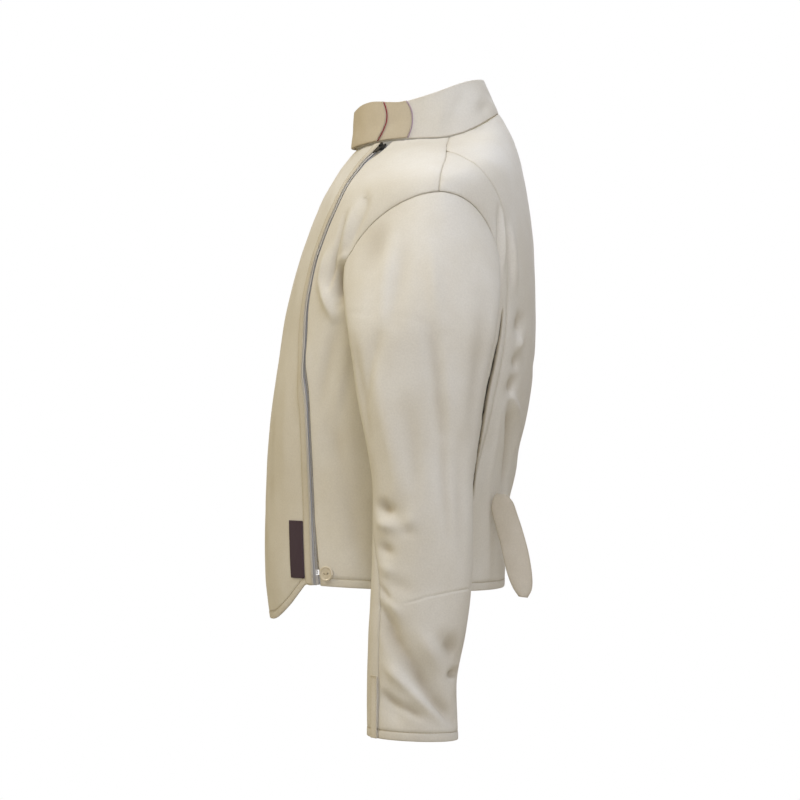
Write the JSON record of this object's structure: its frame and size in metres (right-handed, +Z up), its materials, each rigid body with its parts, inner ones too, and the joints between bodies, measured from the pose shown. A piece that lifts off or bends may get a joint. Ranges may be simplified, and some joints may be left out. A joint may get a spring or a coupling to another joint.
{
  "type": "fencing jacket",
  "caption": "Fencing jacket in worn, hollow form: standing collar with overlapping tabs, side front zip, two-piece sleeves, pointed front hem and a loose back strap.",
  "frame": {"origin": "centre line, level with the points where the shoulder seams meet the collar, where the wearer's shoulders carry the jacket", "axes": "+Z up, -Y the front, +X the wearer's left"},
  "size_m": [0.5904, 0.3023, 0.7073],
  "materials": {
    "cloth": "matt cream twill",
    "tab_cloth": "matt beige twill",
    "edge_cloth": "matt pale twill fold",
    "zip_tape": "woven tape",
    "zip_teeth": "satin",
    "zip_black": "black satin",
    "button": "satin",
    "label": "smooth woven label",
    "strap_cloth": "matt shaded twill"
  },
  "bodies": {
    "jacket": {"front_right": "cloth", "front_left": "cloth", "side_back_left": "cloth", "side_back_right": "cloth", "back": "cloth", "sleeve_upper_left": "cloth", "sleeve_under_left": "cloth", "sleeve_upper_right": "cloth", "sleeve_under_right": "cloth", "collar": "cloth", "collar_tab_outer": "tab_cloth", "collar_tab_inner": "tab_cloth", "placket": "edge_cloth", "cuff_vent_left": "edge_cloth", "cuff_vent_right": "edge_cloth", "zip_tape_left": "zip_tape", "zip_tape_right": "zip_tape", "zip_chain": "zip_teeth", "zip_box": "zip_teeth", "zip_slider": "zip_black", "button": "button", "label": "label", "back_strap": "strap_cloth"},
    "pull": {"zip_pull": "zip_black"}
  },
  "joints": [
    {"name": "zip_pull_turn", "type": "hinge", "parent": "jacket", "child": "pull", "pos_m": [0.068, -0.06564, -0.0117], "axis": [-0.5552, -0.8236, -0.1156], "range_deg": [0, 150]}
  ]
}
